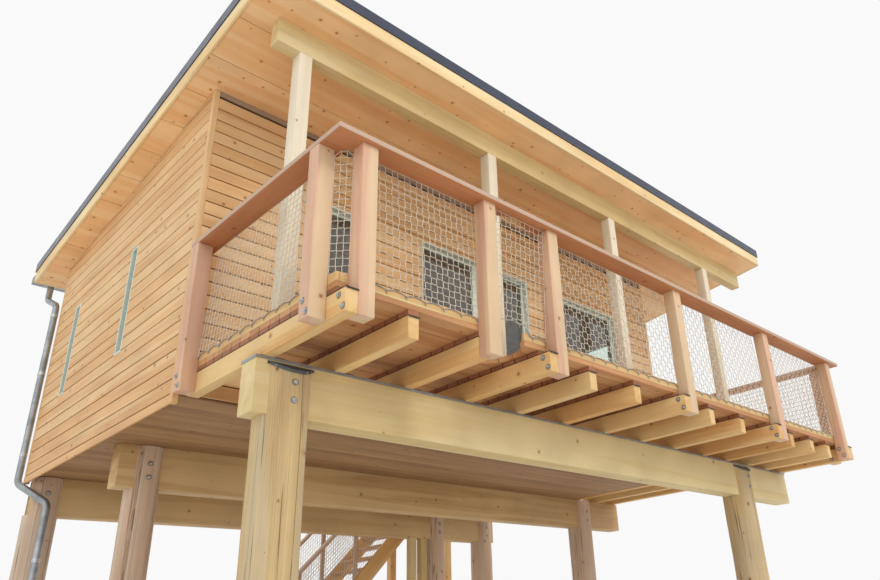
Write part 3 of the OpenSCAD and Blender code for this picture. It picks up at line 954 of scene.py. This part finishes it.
def log(name, x, y, d, beam_y, seed):
    rng = random.Random(seed)
    sides, step, top_z = 96, 60, -8
    n = round((JOISTS_UP + top_z) / step)
    cracks = [(rng.randrange(sides), rng.uniform(-0.1, 0.5), rng.uniform(0.5, 1.1),
               rng.uniform(6, 13)) for _ in range(7)]  # place, from, to, depth
    verts, faces = [], []
    for j in range(n + 1):
        z = -JOISTS_UP + (JOISTS_UP + top_z) * j / n
        for i in range(sides):
            a = 2 * math.pi * i / sides
            c, s = math.cos(a), math.sin(a)
            r = d / 2 - 4 + 7 * noise.noise(Vector((c * 1.6, s * 1.6 + seed, z / 900)))
            r += 1.5 * noise.noise(Vector((c * 7, s * 7 + seed, z / 300)))
            for place, lo, hi, deep in cracks:
                drift = round(2.5 * noise.noise(Vector((place, seed, z / 1100))))
                if (i - place - drift) % sides == 0 and lo < j / n < hi:
                    r -= deep * min(1, 8 * (j / n - lo), 8 * (hi - j / n))
            verts.append(at(x + r * c, y + r * s, z))
    for j in range(n):
        for i in range(sides):
            a, b = j * sides + i, j * sides + (i + 1) % sides
            faces.append((a, b, b + sides, a + sides))
    faces += [tuple(range(sides))[::-1], tuple(n * sides + i for i in range(sides))]
    obj = placed(name, drawn(name, verts, faces=faces))
    carve(obj, block(x - 1000, x + 1000, beam_y, beam_y + 220, -440, 160))
    if "front" in name:
        carve(obj, wedge(x, beam_y))
    write_grain(obj.data, (0, 0, 1))
    obj.data.materials.append(WOOD["log_wood" if "front" in name else "inner_log"])
    obj.data.shade_smooth()
    obj.data.set_sharp_from_angle(angle=0.7)
    show(obj, "log_wood", name.replace("_peeled", ""))


LOGS = [  # name, x, diameter, face of its beam
    ("log_front_left", 245, 418, 1087), ("log_front_right", 7240, 426, 1087),
    ("log_mid_left", 455, 344, 4250), ("log_mid_right", 7627, 398, 4250),
    ("log_rear_left", 110, 369, 6380), ("log_rear_mid", 6220, 377, 6380),
    ("log_rear_right", 7350, 390, 6380)]
for k, (name, x, d, beam_y) in enumerate(LOGS):
    log(name + "_peeled", x, beam_y + 110, d, beam_y, 31 + k)

# %% [markdown]
# The joints are held by galvanised bolts. One tree puts a washer, a hexagon nut with a chamfer and
# the end of the bolt on every point, turns them to the point's facing, and gives each nut its own
# turn. With smaller sizes it makes screws, and with a black finish a dark ring under each washer,
# which paints the shadow round it.

# %% Bolts
def bolt_tree():
    t, size = open_tree("bolts", Washer=0.022, Nut=0.012, Stub=0.006, Seed=1)
    parts = node(t, "GeometryNodeJoinGeometry")
    for part, sides, foot, tall, narrow in (
            ("Washer", 24, 0.0, 0.22, 1.0), ("Washer", 24, 0.22, 0.06, 0.94),
            ("Nut", 6, 0.28, 0.65, 1.0), ("Nut", 6, 0.93, 0.15, 0.8),
            ("Stub", 10, 1.08, 0.5, 1.0), ("Stub", 10, 1.58, 0.12, 0.7)):
        cone = chain(t, "GeometryNodeMeshCone", sides, Radius_Bottom=size[part],
                     Radius_Top=maths(t, "MULTIPLY", size[part], narrow),
                     Depth=maths(t, "MULTIPLY", size["Nut"], tall))
        lift = xyz(t, 0.0, 0.0, maths(t, "MULTIPLY", size["Nut"], foot))
        feed(t, chain(t, "GeometryNodeTransform", cone, Translation=lift), parts.inputs[0])
    facing = chain(t, "GeometryNodeInputNamedAttribute", "facing", data_type="FLOAT_VECTOR")
    turn = chain(t, "FunctionNodeAlignRotationToVector", axis="Z", Vector=facing)
    put = chain(t, "GeometryNodeInstanceOnPoints", size[0], Instance=parts.outputs[0],
                Rotation=turn)
    luck = node(t, "FunctionNodeRandomValue", Seed=size["Seed"])
    luck.inputs[3].default_value = 6.28
    spin = xyz(t, 0.0, 0.0, luck.outputs[1])
    return close_tree(t, size, chain(t, "GeometryNodeRotateInstances", put, Rotation=spin))


HARDWARE = bolt_tree()


def fixings(name, slot, places, washer, nut, stub, finish, seed):
    base = drawn(name, [at(*p) for p, way in places])
    store(base, "facing", "FLOAT_VECTOR", [c for p, way in places for c in way])
    show(grow(name, base, HARDWARE, Washer=washer / 1000, Nut=nut / 1000, Stub=stub / 1000,
              Seed=seed, Finish=finish), slot)


LEFT, RIGHT, FORTH = (-1, 0, 0), (1, 0, 0), (0, -1, 0)
PAIR = ((83, 138), (32, 43))  # the two bolts of a front post
places = []
for x in (0, 2062, 4170, 6250):
    for y, z in PAIR:
        places += [((x, y, z), LEFT), ((x + 240, y, z), RIGHT)]
for y, z in PAIR:
    places += [((8520, y, z), RIGHT), ((8280, y, z), LEFT)]
for y0 in (233, 2238):
    for dy, z in ((83, 138), (34, 46)):
        places += [((x, y0 + dy, z), way) for x, way in (
            (-140, LEFT), (8660, RIGHT), (100, RIGHT), (8420, LEFT))]
places += [((8660, 4483, 138), RIGHT), ((8660, 4434, 46), RIGHT)]
for name, x, d, beam_y in LOGS:
    for z in (-192, -333):
        places += [((x - 8, beam_y + 110 + s * (d // 2 - 3), z), (0, s, 0)) for s in (-1, 1)]
fixings("bolts", "zinc", places, 22, 13.5, 7, STEEL, 41)
# Painted shadow: a thin black disc, wider than each washer, stands for the dark shadow ring round
# it.
fixings("washer_shadow_rings", "zinc", places, 26, 3, 1, BLACK, 41)
screws = []
for a, b in ((30, 1623), (1887, 8489)):
    x = a + 45
    while x < b - 20:
        screws += [((x, 130, z), FORTH) for z in (296, 328)]
        x += (b - a - 90) / max(1, round((b - a) / 620))
screws += [((0, y, z), LEFT) for y in range(300, 2380, 500) for z in (296, 328)]
fixings("screws", "zinc", screws, 4.5, 3, 1.5, STEEL, 42)

# %% [markdown]
# Folded metal and strips of tape finish the structure: a cover over the front beam with half-moon
# plates that shed the rain over the logs' shoulders, black tape on every joist with its end
# drooping over the joist's head, and black pads and angles where the joists cross the beam.

# %% Covers, tape and angles
SLOPE = 0.66  # fall of the half-moon plates


def gather(meshes):
    b = bmesh.new()
    for mesh in meshes:
        b.from_mesh(mesh)
    whole = bpy.data.meshes.new("gathered")
    b.to_mesh(whole)
    b.free()
    return whole


def bar(y0, y1, z0, z1, x0, x1):
    return prism([(y0, z0), (y1, z0), (y1, z1), (y0, z1)], x0, x1)


def half_moon(x, r):
    """A plate on the log's shoulder that falls away from the beam, with a turned-down rim."""
    arc = [math.radians(200 + 140 * k / 24) for k in range(25)]
    rim = [(x + r * math.cos(a), min(1197 + r * math.sin(a), 1082)) for a in arc]
    n = len(rim)
    verts, faces = [], [tuple(range(n)), tuple(range(4 * n - 1, 3 * n - 1, -1))]
    for wide, back, z in ((1, 0, -33), (1, 0, -57), (0.985, 3, -57), (0.985, 3, -36)):
        verts += [at(x + (px - x) * wide, py + back, z - SLOPE * (1081 - py)) for px, py in rim]
    for row in (0, n, 2 * n):
        faces += [(row + k, row + k + n, row + k + 1 + n, row + k + 1) for k in range(n - 1)]
    faces += [(k, k + n, k + 2 * n, k + 3 * n) for k in (0, n - 1)]
    return closed(verts, faces)


folds = [(1081, -24), (1084, -24), (1084, -3), (1310, -3), (1310, -24), (1313, -24), (1313, 0),
         (1081, 0)]
cover = [prism(folds, -53, 8573)] + [bar(1081, 1313, -24, 0, x, x + 3) for x in (-56, 8573)]
solid("beam_cover", gather(cover), "zinc", ZINC, 0.0008, ["flashing"])
# The half-moon plates take the dark metal of painted shade and reflection.
solid("log_covers", gather([half_moon(245, 215), half_moon(7240, 219)]), "edge_metal", PLATE_SHADE,
      0.0008)
fixings("cover_screws", "zinc", [((x + dx, y, z), FORTH) for x in (245, 7240) for dx, y, z in (
    (-150, 1040, -72), (95, 1003, -96))], 7, 4, 2, STEEL, 43)
tape = []
for i, x in enumerate(JOISTS):
    y0 = 0 if i in (0, 3, 6, 9, 13) else 130
    y1 = DECK_N - 4 if x > CABIN_E else CABIN_S - 2
    droop = [(y1, 181), (y0 + 8, 181), (y0 - 3, 180), (y0 - 7, 176), (y0 - 9, 168)]
    tape.append([(x + JOIST / 2, y, z) for y, z in droop])
boards("joist_tape", "roofing", tape, 106, 3.5, 1, seed=44, finish=BLACK)


pads = [bar(1083, 1311, 0.5, 5, x - 12, x + 112) for x in JOISTS]
angles = [bar(1086, 1150, 5, 5 + tall, x + JOIST, x + JOIST + wide)
          for x in JOISTS for tall, wide in ((3, 90), (60, 3))]
solid("joist_pads", gather(pads), "roofing", BLACK, 0.001)
solid("angles", gather(angles), "zinc", BLACK, 0.0008)

# %% [markdown]
# The rain pipe comes down from the gutter, round the corner log and down its face. A bend is an
# arc that touches both straight runs, so its centre lies on the line that halves their angle. The
# points of all the arcs make one wire, and the cord tree sweeps it as one tube.

# %% Rain pipe
def bent(points, r):
    path = [Vector(points[0])]
    for a, b, c in zip(points, points[1:], points[2:]):
        a, b, c = Vector(a), Vector(b), Vector(c)
        u, v = (a - b).normalized(), (c - b).normalized()
        half = u.angle(v) / 2
        back = r / math.tan(half)
        centre = b + (u + v).normalized() * r / math.sin(half)
        start, end = b + u * back - centre, b + v * back - centre
        sweep = start.angle(end)
        for k in range(9):
            w = k / 8
            path.append(centre + (math.sin((1 - w) * sweep) * start
                                  + math.sin(w * sweep) * end) / math.sin(sweep))
    return path + [Vector(points[-1])]


def tube(name, slot, runs, width, finish, replaces=()):
    show(grow(name, wires(name, runs), CORDS, Cord=width / 1000, Shake=0.0, Sides=24,
              Finish=finish), slot, *replaces)


GUTTER_Z = under(7077) + 110
LOWER, UPPER = (60, 6100), (-172, 6610)  # the pipe before and behind the corner of the house
pipe = bent([(*LOWER, -3540), (*LOWER, -350), (*UPPER, -60), (*UPPER, GUTTER_Z - 560),
             (-172, 7137, GUTTER_Z - 300), (-172, 7137, GUTTER_Z - 100)], 110)
tube("rain_pipe", "zinc", [pipe], 80, ZINC, ["downpipe"])
collars = [[(*spot, z), (*spot, z + 45)] for spot, heights in (
    (LOWER, (-3400, -2200, -1000)), (UPPER, (260, 1300, 2100))) for z in heights]
tube("pipe_collars", "zinc", collars, 87, STEEL)

# %% [markdown]
# Window and door frames get eased edges and a pale paint; linings as deep as the reveal close the
# joint between the wall and each frame. The glass is thin, slightly green, and lets light through.

# %% Frames, linings, glass and roof metal
solid("frames_painted", merged("frames"), "frame_white", PAINT, 0.004, ["frames"])
LINING, THICK = 58, 22  # depth and thickness of a lining
across, uprights = [], {"front": [], "side": []}
for wall, face in (("front", CABIN_S + LINING / 2), ("rear", CABIN_N - LINING / 2),
                   ("west", CABIN_W + LINING / 2), ("east", CABIN_E - LINING / 2)):
    way = "front" if wall in ("front", "rear") else "side"
    for a, b, lo, hi in HOLES[wall]:
        def line(*ends):
            return [(u, face, z) if way == "front" else (face, u, z) for u, z in ends]
        levels = [hi - 11] + [lo + 11] * (lo > DECK_TOP)
        if way == "side":
            levels.reverse()
        across += [line((a + 1, z), (b - 1, z)) for z in levels]
        uprights[way] += [line((u, lo + THICK), (u, hi - THICK)) for u in (a + 11, b - 11)]
for name, runs, wide, high in (("linings_across", across, LINING, THICK),
                               ("linings_upright", uprights["front"], THICK, LINING),
                               ("linings_upright_side", uprights["side"], LINING, THICK)):
    boards(name, "frame_white", runs, wide, high, 2, seed=51, finish=PAINT)
GLASS = blank("window glass", Base_Color=(0.86, 0.96, 0.92, 1), Roughness=0.02,
              Transmission_Weight=0.97, IOR=1.45)[0]
for name, material in (("gutter", ZINC), ("roof_edge", EDGE), ("roofing", ROOFING),
                       ("glass", GLASS)):
    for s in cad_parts[name].material_slots:
        s.material = material
    print(name, material.name)

# %% [markdown]
# The light is that of a plain studio: a white sky, a soft sun from the front and a weaker one from
# the left. The sky's strength goes by the kind of ray, so that the background stays pale while the
# house is lit at a plain level. The floor is staged, because it isn't part of the house.

# %% Light and floor
scene.view_settings.view_transform = "Standard"
world = bpy.data.worlds.new("studio")
scene.world = world
world.use_nodes = True
sky = world.node_tree
background = sky.nodes["Background"]
background.inputs["Color"].default_value = (1, 1, 1, 1)
path = node(sky, "ShaderNodeLightPath").outputs
seen = maths(sky, "MAXIMUM", path["Is Camera Ray"],
             maths(sky, "MAXIMUM", path["Is Glossy Ray"], path["Is Transmission Ray"]))
feed(sky, ramp(sky, seen, 0, 1, 0.94, 0.95), background.inputs["Strength"])


for name, strength, angle, way, colour in (
        ("key", 0.8, 0.3, (-0.12, 0.9, -0.62), (1, 0.96, 0.9)),
        ("fill", 0.4, 1.0, (0.9, 0.35, -0.3), (0.94, 0.97, 1))):
    lamp = bpy.data.lights.new(name, "SUN")
    lamp.energy, lamp.angle, lamp.color = strength, angle, colour
    placed(name, lamp).rotation_euler = Vector(way).to_track_quat("-Z", "Y").to_euler()
REACH = 60
sheet = [(-REACH, -REACH, 0), (REACH, -REACH, 0), (REACH, REACH, 0), (-REACH, REACH, 0)]
floor = placed("floor", drawn("floor", sheet, faces=[(0, 1, 2, 3)]))
floor.data.materials.append(
    blank("floor paint", Base_Color=(0.82, 0.82, 0.8, 1), Roughness=0.9)[0])
floor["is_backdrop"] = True
print("lamps", len(bpy.data.lights))

# %% [markdown]
# Last, the dressed house's outer size is measured.

# %% Outer size
lo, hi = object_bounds()
